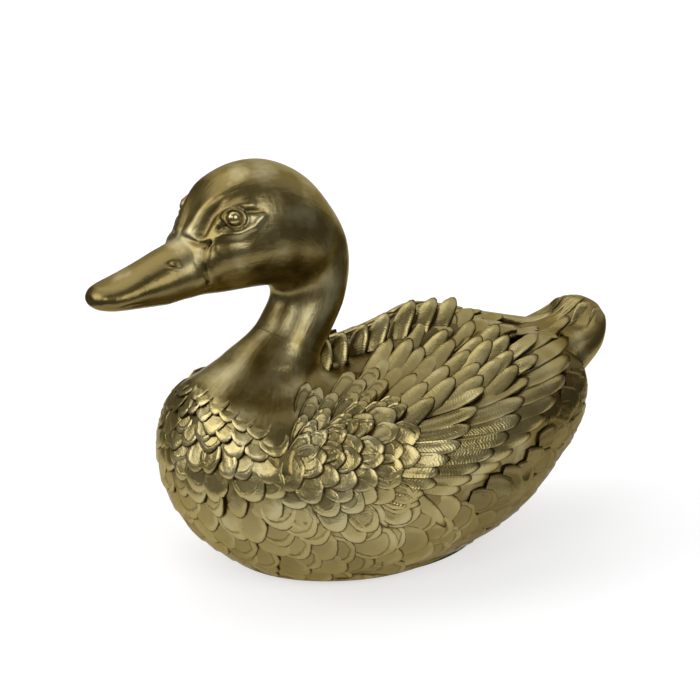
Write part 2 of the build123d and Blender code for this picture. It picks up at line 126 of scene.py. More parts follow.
HEAD = [
    (0.00, -0.05, 0.36, 0.36, 0.48),
    (0.08, 0.00, 0.58, 0.56, 0.80),
    (0.25, 0.07, 0.87, 0.91, 0.95),
    (0.48, 0.16, 1.00, 0.99, 1.02),
    (0.70, 0.15, 0.98, 0.93, 0.98),
    (0.81, 0.11, 0.92, 0.84, 0.91),
    (0.90, 0.04, 0.83, 0.69, 0.78),
    (1.00, -0.12, 0.68, 0.50, 0.50),
]
BILL = [
    (0.00, -0.05, 0.75, 0.72),
    (0.20, 0.00, 0.97, 0.97),
    (0.36, 0.08, 0.89, 0.86),
    (0.59, 0.19, 0.79, 0.65),
    (0.81, 0.28, 0.74, 0.45),
    (0.94, 0.31, 0.57, 0.35),
    (1.00, 0.32, 0.28, 0.19),
]
WING = [
    (0.00, 0.60, 0.58, 0.15, 0.18),
    (0.08, 0.61, 0.60, 0.54, 0.54),
    (0.22, 0.58, 0.63, 0.86, 0.80),
    (0.42, 0.56, 0.65, 0.94, 0.84),
    (0.57, 0.49, 0.72, 0.98, 0.88),
    (0.70, 0.44, 0.79, 0.88, 0.85),
    (0.82, 0.36, 0.85, 0.69, 0.56),
    (0.94, 0.22, 0.91, 0.40, 0.30),
    (1.00, 0.15, 0.98, 0.13, 0.11),
]
TAIL = [
    (0.00, 0.00, 150, 1.00, 1.16, 1.08),
    (0.40, 0.24, 145, 0.93, 1.06, 0.90),
    (0.70, 0.46, 140, 0.83, 0.90, 0.74),
    (0.90, 0.62, 138, 0.62, 0.64, 0.53),
    (1.00, 0.70, 135, 0.31, 0.33, 0.27),
]
# Tops of the swell under the raised feathers: place along the back and height
MANTLE = [(-34, 86), (-20, 89), (0, 94.5), (20, 100), (38, 104), (50, 102), (62, 99), (80, 94.5), (98, 90)]
# Joint of the neck, in metres: a place on it and the way up through it
JOINT = Vector((0, -41, 104.1)) * MM
JOINT_UP = Vector((0, 0.469, 0.883))
FOOT = 2 * MM  # top of the felt


def through(rows, spans):
    """Rows of a table with smooth rows worked in between them."""
    rows = np.array(rows, float)
    gaps = np.linalg.norm(np.diff(rows, axis=0), axis=1)[:, None]
    slope = np.diff(rows, axis=0) / gaps
    inner = (gaps[1:] * slope[:-1] + gaps[:-1] * slope[1:]) / (gaps[1:] + gaps[:-1])
    tangent = np.vstack([slope[:1], inner, slope[-1:]])
    fine = []
    for number, gap in enumerate(gaps):
        for t in np.arange(spans) / spans:
            hold = 2 * t**3 - 3 * t**2 + 1
            start = hold * rows[number] + (1 - hold) * rows[number + 1]
            lean = (t**3 - 2 * t**2 + t) * tangent[number] + (t**3 - t**2) * tangent[number + 1]
            fine.append(start + gap * lean)
    return fine + [rows[-1]]


def cast_form(rings, spans=7, around=64):
    """Closed form through rings: x, y, z, lean, half width, heights above and below, in millimetres."""
    bm = bmesh.new()
    rows = through(rings, spans)
    before = None
    for number, (x, y, z, lean, half, above, below) in enumerate(rows):
        turn = math.radians(lean)
        s, c = math.sin(turn), math.cos(turn)
        seat = Matrix(((1, 0, 0, x), (0, s, -c, y), (0, c, s, z), (0, 0, 0, 1)))
        ends = number in (0, len(rows) - 1)
        ring = bmesh.ops.create_circle(bm, cap_ends=ends, segments=around, radius=1)["verts"]
        edges = list({edge for vert in ring for edge in vert.link_edges})
        for vert in ring:
            tall = above if vert.co.y > 0 else below
            vert.co = (seat @ Vector((vert.co.x * half, vert.co.y * tall, 0))) * MM
        if before:
            bmesh.ops.bridge_loops(bm, edges=before + edges)
        before = edges
    bmesh.ops.recalc_face_normals(bm, faces=bm.faces)
    return kept(bm, "form")


def kept(bm, name):
    """Mesh of a finished bmesh."""
    mesh = bpy.data.meshes.new(name)
    bm.to_mesh(mesh)
    bm.free()
    return mesh


def run_together(forms, grain, rounds):
    """One smooth skin over several forms, as a bmesh."""
    bm = bmesh.new()
    for form in forms:
        bm.from_mesh(form)
    holder = bpy.data.objects.new("wax", kept(bm, "wax"))
    bpy.context.scene.collection.objects.link(holder)
    melt = holder.modifiers.new("melt", "REMESH")
    melt.mode = "VOXEL"
    melt.voxel_size = grain * MM
    skin = bpy.data.meshes.new_from_object(holder.evaluated_get(bpy.context.evaluated_depsgraph_get()))
    bpy.data.objects.remove(holder)
    bm = bmesh.new()
    bm.from_mesh(skin)
    soften(bm, bm.verts, rounds)
    return bm


def soften(bm, verts, rounds):
    """Smooth those points so many times."""
    verts = list(verts)
    for _ in range(rounds):
        bmesh.ops.smooth_vert(
            bm, verts=verts, factor=0.5, use_axis_x=True, use_axis_y=True, use_axis_z=True,
        )


def cut_off(bm, place, away, low=-1.0, high=1.0):
    """Take away what lies beyond a plane, between two levels, and close the cut."""
    part = [vert for vert in bm.verts if low < vert.co.z < high]
    inside = set(part)
    part += [edge for edge in bm.edges if inside.issuperset(edge.verts)]
    part += [face for face in bm.faces if inside.issuperset(face.verts)]
    made = bmesh.ops.bisect_plane(bm, geom=part, plane_co=place, plane_no=away, clear_outer=True)
    rim = [edge for edge in made["geom_cut"] if isinstance(edge, bmesh.types.BMEdge)]
    bmesh.ops.edgeloop_fill(bm, edges=rim)
    bmesh.ops.recalc_face_normals(bm, faces=bm.faces)


def points_of(mesh):
    """Places and normals of a mesh's points, in millimetres."""
    places = np.empty(len(mesh.vertices) * 3)
    normals = np.empty(len(mesh.vertices) * 3)
    mesh.vertices.foreach_get("co", places)
    mesh.vertices.foreach_get("normal", normals)
    return places.reshape(-1, 3) / MM, normals.reshape(-1, 3)


def place_points(mesh, places):
    """Move a mesh's points to places in millimetres."""
    mesh.vertices.foreach_set("co", (np.asarray(places) * MM).ravel())
    mesh.update()


def mark(mesh, name, values):
    """Keep a number or three numbers for each point of a mesh."""
    values = np.asarray(values, float)
    kind, field = ("FLOAT", "value") if values.ndim == 1 else ("FLOAT_VECTOR", "vector")
    mesh.attributes.new(name, kind, "POINT").data.foreach_set(field, values.ravel())


def piece(name, mesh, material):
    """Object for a finished mesh, shaded smooth but for its sharp edges."""
    made = bpy.data.objects.new(name, mesh)
    bpy.context.scene.collection.objects.link(made)
    mesh.materials.clear()
    mesh.materials.append(material)
    mesh.shade_smooth()
    mesh.set_sharp_from_angle(angle=math.radians(48))
    return made


def other_side(rings):
    """The same rings on the bird's right."""
    return [(-ring[0], *ring[1:]) for ring in rings]


# Forms of the castings
body_form = cast_form([
    (
        0, s * BODY_LENGTH + BREAST_FRONT, beam * BACK_HEIGHT, 0,
        wide * BODY_HALF_WIDTH, (top - beam) * BACK_HEIGHT, (beam - keel) * BACK_HEIGHT,
    )
    for s, wide, top, keel, beam in BODY
])
neck_form = cast_form([
    (
        0, sweep * NECK_SWEEP + NECK_FRONT, NECK_ROOT + rise * NECK_HEIGHT, lean,
        wide * NECK_HALF_WIDTH, behind * NECK_HALF_WIDTH, ahead * NECK_HALF_WIDTH,
    )
    for sweep, rise, lean, wide, behind, ahead in NECK
])
head_form = cast_form([
    (
        0, NAPE - s * HEAD_LENGTH, HEAD_LEVEL + rise * HEAD_HEIGHT, 0,
        wide * HEAD_HALF_WIDTH, crown * HEAD_HALF_HEIGHT, jaw * HEAD_HALF_HEIGHT,
    )
    for s, rise, wide, crown, jaw in HEAD
])
bill_form = cast_form([
    (
        0, BILL_ROOT - s * BILL_LENGTH, BILL_LEVEL - drop * BILL_HEIGHT, 0,
        wide * BILL_HALF_WIDTH, tall * BILL_HALF_HEIGHT, tall * BILL_HALF_HEIGHT,
    )
    for s, drop, wide, tall in BILL
])
wing_rings = [
    (
        out * BODY_HALF_WIDTH, s * WING_LENGTH + WING_SHOULDER, level * BACK_HEIGHT, 0,
        deep * WING_HALF_DEPTH, tall * WING_HALF_HEIGHT, tall * WING_HALF_HEIGHT,
    )
    for s, out, level, deep, tall in WING
]
core_rings = [
    (*ring[:4], *(max(size - CORE_INSET, CORE_LEAST) for size in ring[4:])) for ring in wing_rings
]
mantle_rings = [
    (MANTLE_OUT, y, MANTLE_LEVEL, 0, MANTLE_HALF_WIDTH, top - MANTLE_LEVEL, MANTLE_DEPTH)
    for y, top in MANTLE
]
wing_form = cast_form(wing_rings)
far_wing_form = cast_form(other_side(wing_rings))
wing_core = cast_form(core_rings)
far_wing_core = cast_form(other_side(core_rings))
mantle_form = cast_form(mantle_rings)
far_mantle_form = cast_form(other_side(mantle_rings))
tail_form = cast_form([
    (
        0, TAIL_START + back * TAIL_LENGTH, TAIL_LEVEL + up * TAIL_LENGTH, lean,
        wide * TAIL_HALF_WIDTH, under * TAIL_HALF_DEPTH, over * TAIL_HALF_DEPTH,
    )
    for back, up, lean, wide, under, over in TAIL
])

# Where the castings swell out of the plain forms or fall back from them: amount, place and reach
SWELLS = [
    (2.6, (4, -86, 90), (24, 12, 12)),  # breast under the neck
    (1.9, (44, 58, 24), (30, 28, 18)),  # rear flank
    (3.2, (60, 40, 36), (14, 14, 7)),  # flank under the wing
    (-2.4, (58, 52, 41), (12, 9, 4)),  # groove along the lower edge of the wing
    (-4.0, (0, 108, 98), (30, 10, 9)),  # rump
    (-4.0, (0, 117, 105), (30, 8, 7)),  # root of the tail
    (-4.4, (16, 119, 97), (10, 9, 8)),  # shoulders of the tail
    (-5.0, (57, 38, 91), (15, 17, 9)),  # upper edge of the wing
]


def folded(places):
    """Places with the bird's right side folded over onto its left."""
    return places * (0, 1, 1) + np.abs(places) * (1, 0, 0)


def about(places, centre, reach):
    """Weight that is 1 at a place on either side of the bird and fades with distance."""
    rel = (folded(places) - np.array(centre, float)) / np.array(reach, float)
    return np.exp(-(rel**2).sum(1))


def fullness(places):
    """How far the castings swell out of the plain forms."""
    return sum(amount * about(places, centre, reach) for amount, centre, reach in SWELLS)


def neck_fillet(bm):
    """Points of the hollow where the neck runs into the breast and the back."""
    return [vert for vert in bm.verts if 62 * MM < vert.co.z < 98 * MM and vert.co.y < -18 * MM]


class Surface:
    """A skin that feathers are laid on, in millimetres."""

    def __init__(self, bm):
        bm.verts.ensure_lookup_table()
        corners = [tuple(vert.co / MM) for vert in bm.verts]
        sides = [[vert.index for vert in face.verts] for face in bm.faces]
        self.tree = BVHTree.FromPolygons(corners, sides)
        self.places = np.array(corners)
        self.normals = np.array([vert.normal for vert in bm.verts])

    def nearest(self, place):
        """Nearest place on the skin and its normal there."""
        hit, normal, _, _ = self.tree.find_nearest(Vector(place))
        return np.array(hit), np.array(normal)

    def gap(self, place):
        """Distance of a place from the skin."""
        return (Vector(place) - self.tree.find_nearest(Vector(place))[0]).length

    def seen(self, place, look, far):
        """Place where a line of sight first meets the skin, or the nearest to its end, and its normal."""
        hit, normal, _, _ = self.tree.ray_cast(Vector(place), Vector(look))
        if hit:
            return np.array(hit), np.array(normal)
        return self.nearest(np.array(place) + np.array(look) * far)


whole = run_together(
    [body_form, neck_form, wing_form, far_wing_form, mantle_form, far_mantle_form, tail_form], 1.8, 8
)
soften(whole, neck_fillet(whole), 24)
whole.normal_update()
whole_mesh = kept(whole, "whole")
places, normals = points_of(whole_mesh)
place_points(whole_mesh, places + normals * fullness(places)[:, None])
whole = bmesh.new()
whole.from_mesh(whole_mesh)
whole.normal_update()
SKIN = Surface(whole)
whole.free()
lobe = bmesh.new()
lobe.from_mesh(wing_form)
lobe.from_mesh(far_wing_form)
WINGS = Surface(lobe)
lobe.free()


def blank(across, along, leaf=False):
    """Flat closed feather, and how far along, how far across and whether on top each of its points is."""
    bm = bmesh.new()
    bmesh.ops.create_grid(bm, x_segments=across, y_segments=along, size=1)
    under = bm.faces[:]
    made = bmesh.ops.extrude_face_region(bm, geom=under)
    top = [part for part in made["geom"] if isinstance(part, bmesh.types.BMVert)]
    bmesh.ops.translate(bm, verts=top, vec=(0, 0, 1))
    if not leaf:
        bmesh.ops.dissolve_faces(bm, faces=under)
    bmesh.ops.recalc_face_normals(bm, faces=bm.faces)
    mesh = kept(bm, "blank")
    shape = np.array([vert.co for vert in mesh.vertices])
    along_share = 1 - (1 - (shape[:, 1] + 1) / 2) ** 1.25
    across_share = shape[:, 0] * (1.25 - 0.25 * shape[:, 0] ** 2)
    return mesh, along_share, across_share, shape[:, 2] > 0.5


SCALE = blank(8, 5)
QUILL = blank(8, 18)
LEAF = blank(6, 9, leaf=True)


def unit(vectors):
    """Vectors made one long."""
    vectors = np.asarray(vectors, float)
    return vectors / np.maximum(np.linalg.norm(vectors, axis=-1, keepdims=True), 1e-9)


def along_skin(heading, normal):
    """Direction turned to lie flat on the skin."""
    return unit(heading - normal * heading.dot(normal))


FACING = np.array([0.55, -0.45, 0.80])  # way that the raised feathers of the left wing face
SEAT = 1.6  # how far the foot of a feather lies under the skin


class Plumage:
    """Feathers of one casting, gathered into one mesh."""

    def __init__(self):
        self.blanks, self.places, self.barbs, self.trim, self.wear_and_shade = [], [], [], [], []

    def lay(
        self, kind, line, normals, half, root, tip,
        dome=0.0, tilt=0.0, thick=None, rim=0.25, band=0.0, comb=0.3, point=0.0, painted_lightness=1.0, hug=True,
    ):
        """One feather along a line of places, with the heights of its root and its tip over them.

        A feather that is given a thickness stands off the skin, and any other is filled in down to it.
        """
        mesh, u, v, top = kind
        line, normals = np.asarray(line), unit(normals)
        length = np.linalg.norm(np.diff(line, axis=0), axis=1).sum()
        stations = np.linspace(0, 1, len(line))
        reach = u * (1 - min(half / length, 0.6) * v**2)

        def at_reach(values):
            """Values given along the line, at the reach of each point."""
            return np.stack([np.interp(reach, stations, values[:, k]) for k in range(3)], 1)

        out = unit(at_reach(normals))
        ahead = unit(at_reach(np.gradient(line, axis=0)))
        side = unit(np.cross(out, ahead))
        swell = 0.7 + 0.3 * np.sin(np.minimum(u / 0.6, 1) * np.pi / 2)
        span = v * half * swell * (1 - point * u**2.5)
        places = at_reach(line) + side * span[:, None]
        if hug:
            found = [SKIN.nearest(place) for place in places]
            places = np.array([place for place, _ in found])
            out = unit(np.array([normal for _, normal in found]) + 0.5 * out)
        edge = np.minimum(1 - np.abs(v), 1.15 * (1 - u))
        droop = v**2 + 0.7 * np.maximum(u - 0.55, 0) ** 2 / 0.2
        lift = root + (tip - root) * u**1.2 - dome * droop + tilt * v
        lift += rim * (np.exp(-(((edge - 0.16) / 0.12) ** 2)) - 1.3 * np.exp(-((edge / 0.06) ** 2)))
        lift += 0.5 * rim * np.exp(-((v / 0.12) ** 2)) * (u < 0.9)
        if thick is None:
            foot = np.full(len(u), min(root, 0) - SEAT)
        else:
            foot = lift - thick - 5 * (1 - u) ** 1.5
        height = np.where(top, lift, foot)
        self.blanks.append(mesh)
        self.places.append(places + out * height[:, None])
        self.barbs.append(np.stack([u * length, span, np.full(len(u), dice.random())], 1))
        # Mark for the colour: lighter where the outer edges are rubbed, and painted shade that darkens each
        # feather towards its root under the row before it and on its underside and walls
        rubbed = np.exp(-(((edge - 0.14) / 0.1) ** 2)) * (u > 0.4)
        rubbed_and_shaded = painted_lightness * np.clip(0.35 + 0.45 * u + 0.3 * rubbed, 0, 1)
        self.wear_and_shade.append(np.where(top, rubbed_and_shaded, 0.0 if thick is None else 0.5 * rubbed_and_shaded))
        self.trim.append(np.stack([edge, np.full(len(u), band), np.full(len(u), comb)], 1))

    def tuft(self, root, tip, half, arch):
        """One feather that grows out of the skin and stands up to its tip, filled in underneath."""
        along = tip - root
        side = unit(np.cross(FACING, along))
        up = unit(np.cross(along, side))
        bend = root + 0.5 * along + up * arch * np.linalg.norm(along)
        t = np.linspace(0, 1, 10)[:, None]
        line = (1 - t) ** 2 * root + 2 * t * (1 - t) * bend + t**2 * tip
        normals = np.cross(unit(np.gradient(line, axis=0)), side)
        self.lay(
            LEAF, line, normals, half, 0, 0.4,
            dome=0.8, thick=1.3, rim=0.4, comb=0.4, point=0.3, hug=False,
        )

    def mesh(self, name, mirrored=False):
        """All the feathers as one mesh, or their mirror image."""
        bm = bmesh.new()
        for mesh in self.blanks:
            bm.from_mesh(mesh, face_normals=False, vertex_normals=False)
        made = kept(bm, name)
        places = np.concatenate(self.places) * (-1 if mirrored else 1, 1, 1)
        places[:, 2] = np.maximum(places[:, 2], FOOT / MM + 0.2)
        place_points(made, places)
        if mirrored:
            made.flip_normals()
        mark(made, "barb", np.concatenate(self.barbs))
        mark(made, "wear_and_shade", np.concatenate(self.wear_and_shade))
        mark(made, "trim", np.concatenate(self.trim))
        return made


def flow(place, normal):
    """Direction in which the feathers of the body point at a place: away from the neck, then backwards."""
    away = unit(place - NECK_FOOT)
    back = np.clip((place[1] + 70) / 70, 0, 1)
    return along_skin(away + np.array([0, 1.1, 0.1]) * back, normal)


def walk(start, length, heading, twist=0.0, steps=6):
    """Line over the skin from a place, along the directions that heading gives, turned aside by twist."""
    place, normal = SKIN.nearest(start)
    line, normals = [place], [normal]
    for _ in range(steps):
        ahead = heading(place, normal)
        ahead = ahead * math.cos(twist) + np.cross(normal, ahead) * math.sin(twist)
        place, normal = SKIN.nearest(place + ahead * length / steps)
        line.append(place)
        normals.append(normal)
    return line, normals


def scatter(room, spacing, first):
    """Places for feathers, spaced out over a part of the skin, in the order of first."""
    numbers = np.flatnonzero(room)
    gap = spacing[numbers]
    order = np.argsort(first[numbers] + dice.normal(0, 0.12, len(numbers)) * gap)
    chosen = np.empty((0, 3))
    picked = []
    for k in order:
        place = SKIN.places[numbers[k]]
        if len(picked) == 0 or np.linalg.norm(chosen - place, axis=1).min() > gap[k]:
            chosen = np.vstack([chosen, place])
            picked.append(numbers[k])
    return picked


# Height at which the scales begin and place along the bird where the wings begin, each by the distance
# from its middle
SCALE_LINE = ([0, 8, 20, 31, 38, 42, 46, 52], [88, 87, 85, 81, 79, 76, 72.6, 63])
WING_LINE = ([12, 18, 29, 41, 48, 54], [-30, -42, -49, -55, -61, -71])


def below_neck(places):
    """How far a place lies below the line round the neck where the scales begin."""
    return np.interp(np.abs(places[..., 0]), *SCALE_LINE) - places[..., 2]


def behind_neck(places):
    """How far a place lies behind the line where the smooth neck and the breast meet the wings."""
    upper = np.interp(np.abs(places[..., 0]), *WING_LINE)
    lower = -71 + 0.63 * (60 - places[..., 2])
    return places[..., 1] - np.maximum(upper, lower)


X, Y, Z = SKIN.places.T
to_wing = np.array([WINGS.gap(place) for place in SKIN.places])
on_wing = (to_wing < 2.2) & (np.abs(X) > 12)
from_neck = np.linalg.norm(SKIN.places - NECK_FOOT, axis=1)
behind = behind_neck(SKIN.places)
winged = (behind > 0) & (Z < 97) & (on_wing | ((Y < -28) & (Z > 38)) | (Z > 80))

# Scales of the breast, the belly, the flanks and the stern
breast = Plumage()
rear = (Y > -25) & (to_wing < 5) | (behind > -3) & (Z > 74)
room = ~winged & ~rear & (below_neck(SKIN.places) > -1) & ((Y < 104) | (Z < 63)) & (Z > 5)
room &= SKIN.normals[:, 2] < 0.85
spacing = np.interp(Z, [15, 50, 86], [10.5, 9.0, 6.6])
spacing = np.maximum(spacing, np.interp(Y, [-60, -20, 20, 50], [0, 10.5, 11.0, 8.5]))
for k in scatter(room, spacing, from_neck):
    size = spacing[k] * dice.uniform(0.85, 1.2)
    place, normal = SKIN.places[k], SKIN.normals[k]
    line, normals = walk(place - flow(place, normal) * 0.9 * size, 2.0 * size, flow, dice.normal(0, 0.2))
    sunk = np.interp(below_neck(place), [0, 8], [0, 1])
    rearward = np.interp(place[1], [-5, 30], [0, 1])
    bold = np.interp(below_neck(place), [0, 16], [0.2, 1]) * (1 - 0.75 * rearward)
    tip = (0.3 - 0.9 * sunk) * (1 - rearward) + 1.25 * bold * dice.uniform(0.7, 1.2)
    # Painted shade: scales towards the stern and towards the bottom are laid darker
    painted_lightness = (1 - 0.9 * rearward) * np.interp(place[2], [10, 40], [0.55, 1])
    breast.lay(
        SCALE, line, normals, (0.86 - 0.2 * rearward) * size, tip - 1.5 - 1.0 * bold + 0.8 * rearward, tip,
        dome=0.09 * size * bold, tilt=dice.normal(0, 0.5) * bold, rim=0.3, painted_lightness=painted_lightness,
        band=dice.choice([0.0, 0.9, 0.9]) * bold, comb=0.12 + 0.5 * rearward,
    )

# The photograph's camera, with places in millimetres and points of the photograph in its pixels
VIEW_SIDE = 57
VIEW_RISE = 15
AIM = np.array([0, -6, 94.0])
BACK_TO_LENS = np.array([0.810, -0.526, 0.259])
ACROSS = np.array([0.545, 0.839, 0.0])
UPWARD = np.array([-0.217, 0.141, 0.966])
LENS_DISTANCE = 760
LENS = AIM + LENS_DISTANCE * BACK_TO_LENS
PICTURE_MIDDLE = 350
FOCAL_LENGTH = 1653
SHOULDER = (292.6, 458.9)


def sight(point):
    """Direction of the line of sight through a point of the photograph."""
    across = ACROSS * (point[0] - PICTURE_MIDDLE)
    upward = UPWARD * (point[1] - PICTURE_MIDDLE)
    return (across - upward) / FOCAL_LENGTH - BACK_TO_LENS


def sighted(point):
    """Place on the skin that shows at a point of the photograph, and its normal there."""
    return SKIN.seen(LENS, sight(point), LENS_DISTANCE + 10)


def over_back(point, out):
    """Place that shows at a point of the photograph and is that far out from the bird's middle."""
    look = sight(point)
    return LENS + look * ((out - LENS[0]) / look[0])


def fan(angle, reach):
    """Point of the photograph on a ray from the shoulder, where the feathers of the wing fan out."""
    turn = math.radians(angle)
    return np.array([SHOULDER[0] + reach * math.cos(turn), SHOULDER[1] - reach * math.sin(turn)])


def fan_line(angle, start, stop, bow=0.0, steps=10):
    """Line over the skin along a ray of the fan with its normals, as far as it lies behind the neck."""
    line, normals = [], []
    for t in np.linspace(0, 1, steps + 1):
        place, normal = sighted(fan(angle - bow * 4 * t * (1 - t), start + (stop - start) * t))
        if behind_neck(place) > -2.5 and place[2] < 100 and place[0] > 2:
            line.append(place)
            normals.append(normal)
    return line, normals


def rows(low, high, first, last, gap):
    """Angles and reaches of feathers that fill a part of the fan, row by row from tips to shoulder."""
    for number, reach in enumerate(np.arange(last, first, -gap)):
        step = math.degrees(gap / max(reach, gap))
        for angle in np.arange(low + 0.5 * step * (number % 2), high, step):
            yield angle + dice.normal(0, 0.12) * step, reach + dice.normal(0, 0.12) * gap


# Tiers of long feathers, the longest first: count, length, half width, heights of root and tip, bow,
# and the line of the tips as angles and reaches of the fan
LONG_TIERS = [
    (10, 100, 4.6, -2.0, 1.1, 1.5, [(27.5, 309), (20, 297), (12, 266), (4, 228), (-5, 195)]),
    (10, 88, 4.4, -2.2, 1.9, 1.2, [(27, 272), (21, 260), (15, 240), (8, 222), (-0.6, 190), (-10, 170)]),
    (9, 62, 3.7, -2.0, 2.7, 1.0, [
        (20, 205), (13.3, 184), (7, 170), (2, 161), (-2.5, 147), (-9.5, 141), (-19, 132),
    ]),
]
OVERLAP = 1.12  # how much wider a long feather is laid than its place in the tier
# Smooth lower edge of the wing: angle, start and stop of each band
LOWER_EDGE = [(-24, 60, 168), (-36, 40, 118)]
# Tip line of the crest, as angles and reaches of the fan
CREST_TIPS = np.array([
    (20.5, 245), (26.5, 246), (34.5, 240), (41, 231), (46, 223), (49.3, 213), (53, 194),
    (56.5, 177), (62.5, 149), (67, 138), (72, 126), (77, 119),
])
# Rows of raised feathers up to the crest: share of the tip line, first and last angle, length,
# and lift of the tip
RAISED_ROWS = [
    (0.62, 22, 50, 42, 2.4),
    (0.73, 24, 55, 46, 3.0),
    (0.84, 22, 62, 50, 3.6),
    (0.93, 24, 66, 48, 4.0),
    (1.0, 21, 77, 46, 4.0),
]
RAISED_GAP = 16  # between neighbours at their tips

wing = Plumage()
for count, length, half, root, tip, bow, tips in LONG_TIERS:
    angles, reaches = np.array(tips[::-1]).T
    for angle in np.linspace(angles[0], angles[-1], count):
        reach = np.interp(angle, angles, reaches) + dice.normal(0, 1.5)
        line, normals = fan_line(angle, reach - length, reach, bow)
        if len(line) > 6:
            wing.lay(
                QUILL, line, normals, half * OVERLAP, root, tip,
                dome=0.4, tilt=-0.7, rim=0.3, comb=0.55, point=0.35,
            )

for angle, start, stop in LOWER_EDGE:
    line, normals = fan_line(angle, start, stop, -6)
    wing.lay(QUILL, line, normals, 5.0, -2.0, 1.0, dome=1.0, rim=0.1, comb=0.1, point=0.5)

# Coverts
for angle, reach in rows(-52, 24, 26, 128, 19):
    line, normals = fan_line(angle + dice.normal(0, 5), reach - 36, reach, steps=6)
    if len(line) > 3 and line[-1][2] > 30:
        wing.lay(
            SCALE, line, normals, 5.7 * dice.uniform(0.88, 1.12), -1.6, 2.0 + reach / 130,
            dome=0.7, tilt=dice.normal(0, 0.4), rim=0.3, band=dice.choice([0.0, 0.8]), comb=0.2,
        )

# Small feathers from the neck over the shoulder
for angle, reach in rows(24, 80, 28, 122, 15.5):
    line, normals = fan_line(angle + dice.normal(0, 4), reach - 34, reach, steps=6)
    if len(line) > 3 and not (line[-1][2] > 90 and line[-1][0] < 26):
        wing.lay(
            SCALE, line, normals, 4.5, -1.4, 2.6,
            dome=0.3, tilt=0.9, rim=0.6, band=0.8, comb=0.2, point=0.3,
        )

# Raised feathers over the back. Those of the far wing lie lower, as they don't show over the crest
raised, far_raised = Plumage(), Plumage()
for share, low, high, length, lift in RAISED_ROWS:
    angle = low
    while angle < high:
        reach = np.interp(angle, *CREST_TIPS.T) * share * dice.uniform(0.98, 1.01)
        aim = fan(angle + dice.normal(0, 0.6), reach)
        long = length * np.interp(angle, [56, 66], [1, 0.55])
        starts = (sighted(fan(angle - 3, reach - long - more))[0] for more in range(0, 200, 5))
        root = next(place for place in starts if place[0] > 4)
        standing = share == 1 and angle > 36
        tip, normal = sighted(aim)
        low_tip = tip + 0.4 * normal
        tip = tip + lift * unit(normal + (0, 0, 1))
        if standing:
            tip = over_back(aim - (0, 3), 2.5)
            low_tip = SKIN.nearest(tip)[0] + (0, 0, 0.6)
        angle += math.degrees(RAISED_GAP / reach)
        if behind_neck(root) > -4 and (standing or tip[0] > 3):
            root = root - ((2, 0, 5) if standing else (0, 0, 1.5))
            raised.tuft(root, tip, 5.2, 0.2 if standing else -0.04)
            far_raised.tuft(root, low_tip, 4.6, 0.06 if standing else -0.04)


def rearward_flow(here, up):
    """Direction of the low feathers of the back, straight to the tail."""
    return along_skin(np.array([0, 1, 0]), up)


# Low feathers between the wings, behind the crest
for number, x in enumerate([30, 22, 13.5, 5]):
    for y in np.arange(94 - 7 * (number % 2), 26 + 0.8 * x, -13):
        start, _ = SKIN.seen((x, y - 24, 135), (0, 0, -1), 30)
        line, normals = walk(start, 24, rearward_flow)
        wing.lay(SCALE, line, normals, 5.4, -1.6, 1.4, dome=0.5, rim=0.3, comb=0.35, point=0.3)

# Long low feathers of the tail
tail = Plumage()
TAIL_AXIS = np.array([0, 0.80, 0.60])
for angle in np.linspace(-112, 112, 13):
    turn = math.radians(angle)
    look = np.array([math.sin(turn), -0.60 * math.cos(turn), 0.80 * math.cos(turn)])
    base, _ = SKIN.seen(np.array([0, 111, 84]), look, 20)

    def tailward(here, up, turn=turn):
        """Direction of a feather of the tail, drawn in to the tail's tip."""
        return along_skin(TAIL_AXIS - np.array([0.35 * math.sin(turn), 0, 0]), up)

    line, normals = walk(base, 32, tailward, steps=10)
    # Painted shade: the tail's quills are laid at half lightness
    tail.lay(
        QUILL, line, normals, 6.0, -1.2, 0.5,
        painted_lightness=0.5, dome=0.2, tilt=0.8 * np.sign(angle), rim=0.25, comb=0.3,
    )


class Tone:
    """One socket of a material. Sums on it in plain Python add Math nodes."""

    def __init__(self, tree, socket=None):
        self.tree, self.socket = tree, socket

    def make(self, kind, values=(), output=0, **settings):
        """Output of a new node with those settings and socket values or links."""
        node = self.tree.nodes.new(kind)
        for name, setting in settings.items():
            setattr(node, name, setting)
        for key, value in dict(values).items():
            if isinstance(value, Tone):
                self.tree.links.new(value.socket, node.inputs[key])
            else:
                node.inputs[key].default_value = value
        return Tone(self.tree, node.outputs[output])

    def math(self, operation, first, second=0.0):
        return self.make("ShaderNodeMath", {0: first, 1: second}, operation=operation)

    def __add__(self, other):
        return self.math("ADD", self, other)

    def __sub__(self, other):
        return self.math("SUBTRACT", self, other)

    def __rsub__(self, other):
        return self.math("SUBTRACT", other, self)

    def __mul__(self, other):
        return self.math("MULTIPLY", self, other)

    __radd__, __rmul__ = __add__, __mul__

    def size(self):
        return self.math("ABSOLUTE", self)

    def sine(self):
        return self.math("SINE", self)

    def within(self, low, high, start=0.0, stop=1.0):
        """This value's place between low and high, as a value from start to stop."""
        ends = {"From Min": low, "From Max": high, "To Min": start, "To Max": stop}
        return self.make("ShaderNodeMapRange", {"Value": self, **ends})

    def blend(self, first, second):
        """Colour from the first to the second as this value goes from 0 to 1."""
        return self.make("ShaderNodeMix", {"Factor": self, "A": first, "B": second}, 2, data_type="RGBA")


def finish_material(name):
    """New material, its shader node and a tone to start from."""
    material = bpy.data.materials.new(name)
    material.use_nodes = True
    shader = material.node_tree.nodes["Principled BSDF"]
    return material, shader, Tone(material.node_tree)


def feed(tone, shader, **sockets):
    """Link tones to sockets of a shader."""
    for name, value in sockets.items():
        tone.tree.links.new(value.socket, shader.inputs[name.replace("_", " ")])


